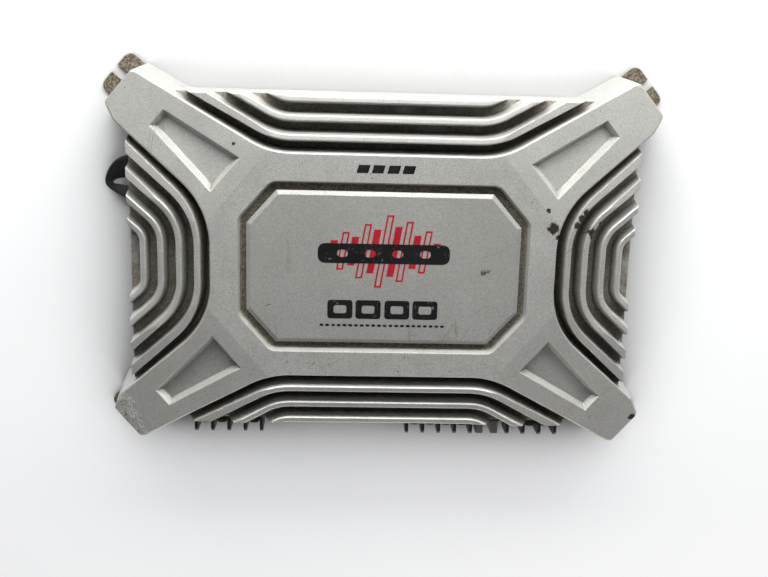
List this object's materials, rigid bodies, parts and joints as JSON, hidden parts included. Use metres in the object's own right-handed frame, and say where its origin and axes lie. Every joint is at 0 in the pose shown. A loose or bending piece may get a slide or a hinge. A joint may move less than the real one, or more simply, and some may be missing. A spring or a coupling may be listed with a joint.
{
  "type": "car amplifier",
  "caption": "Flat car audio amplifier: ribbed silver die-cast cover with an X-shaped frame and sloping arms, slotted corner ears, and screw terminals along one side.",
  "frame": {"origin": "middle of the mounting face, in the plane of the base plate underside", "axes": "+Z out of the top cover, +X along the long side, -Y towards the terminal side"},
  "size_m": [0.378, 0.2636, 0.055],
  "materials": {
    "cover_paint": "die-cast, silver metallic paint, worn",
    "badge_metal": "satin silver sheet with printed graphic",
    "foam_tape": "double-sided foam",
    "base_steel": "zinc-plated sheet, corroded at the ears",
    "screw_steel": "zinc-plated",
    "strap_webbing": "black woven nylon",
    "insulation": "clear-cut film",
    "circuit_board": "green solder mask",
    "ferrite": "sintered",
    "copper_wire": "enamelled copper",
    "capacitor_sleeve": "shrink sleeve",
    "chip_resin": "moulded resin",
    "thermal_pad": "silicone pad",
    "clamp_aluminium": "sawn bar",
    "panel_paint": "black powder coat",
    "terminal_plastic": "moulded black",
    "terminal_brass": "plated, tarnished",
    "terminal_screw_steel": "nickel-plated",
    "fuse_plastic": "smoky translucent",
    "jack_plating": "nickel plate",
    "jack_insulator": "white moulding",
    "knob_plastic": "moulded black",
    "light_lens": "tinted"
  },
  "bodies": {
    "chassis": {"badge_plate": "badge_metal", "badge_tape": "foam_tape", "base_plate": "base_steel", "base_screws": "screw_steel", "board_screws": "screw_steel", "board_standoffs": "screw_steel", "clamp_bar_output": "clamp_aluminium", "clamp_bar_supply": "clamp_aluminium", "clamp_plates": "terminal_brass", "clamp_screws": "screw_steel", "control_chips": "chip_resin", "control_pots": "chip_resin", "fuse_blades": "terminal_brass", "fuse_bodies": "fuse_plastic", "fuse_holder": "terminal_plastic", "heatsink_cover": "cover_paint", "input_capacitors": "capacitor_sleeve", "input_choke_core": "ferrite", "input_choke_winding": "copper_wire", "insulating_sheet": "insulation", "main_board": "circuit_board", "output_transistors": "chip_resin", "panel_screws": "screw_steel", "phono_block": "terminal_plastic", "phono_contacts": "jack_plating", "phono_insulators": "jack_insulator", "phono_shells": "jack_plating", "power_light": "light_lens", "power_terminals": "terminal_plastic", "preamp_board": "circuit_board", "rail_capacitors": "capacitor_sleeve", "signal_capacitors": "capacitor_sleeve", "speaker_terminals_front": "terminal_plastic", "speaker_terminals_rear": "terminal_plastic", "strap_clip": "screw_steel", "strap_loop": "strap_webbing", "strap_screws": "screw_steel", "supply_transistors": "chip_resin", "switch_housing": "terminal_plastic", "terminal_panel": "panel_paint", "terminal_plates": "terminal_brass", "terminal_screws": "terminal_screw_steel", "thermal_pad_output": "thermal_pad", "thermal_pad_supply": "thermal_pad", "transformer_core": "ferrite", "transformer_winding": "copper_wire"},
    "level_knob_front": {"level_knob_front": "knob_plastic"},
    "level_knob_rear": {"level_knob_rear": "knob_plastic"},
    "high_pass_knob": {"high_pass_knob": "knob_plastic"},
    "low_pass_knob": {"low_pass_knob": "knob_plastic"},
    "filter_switch_front": {"filter_switch_front": "knob_plastic"},
    "filter_switch_rear": {"filter_switch_rear": "knob_plastic"}
  },
  "joints": [
    {"name": "level_knob_front_turn", "type": "hinge", "parent": "chassis", "child": "level_knob_front", "pos_m": [-0.036, -0.1028, 0.0175], "axis": [0, 1, 0], "range_deg": [-150, 150]},
    {"name": "level_knob_rear_turn", "type": "hinge", "parent": "chassis", "child": "level_knob_rear", "pos_m": [-0.025, -0.1028, 0.0175], "axis": [0, 1, 0], "range_deg": [-150, 150]},
    {"name": "high_pass_knob_turn", "type": "hinge", "parent": "chassis", "child": "high_pass_knob", "pos_m": [-0.014, -0.1028, 0.0175], "axis": [0, 1, 0], "range_deg": [-150, 150]},
    {"name": "low_pass_knob_turn", "type": "hinge", "parent": "chassis", "child": "low_pass_knob", "pos_m": [-0.003, -0.1028, 0.0175], "axis": [0, 1, 0], "range_deg": [-150, 150]},
    {"name": "filter_switch_front_slide", "type": "slide", "parent": "chassis", "child": "filter_switch_front", "axis": [1, 0, 0], "range_m": [0, 0.003]},
    {"name": "filter_switch_rear_slide", "type": "slide", "parent": "chassis", "child": "filter_switch_rear", "axis": [1, 0, 0], "range_m": [0, 0.003]}
  ]
}
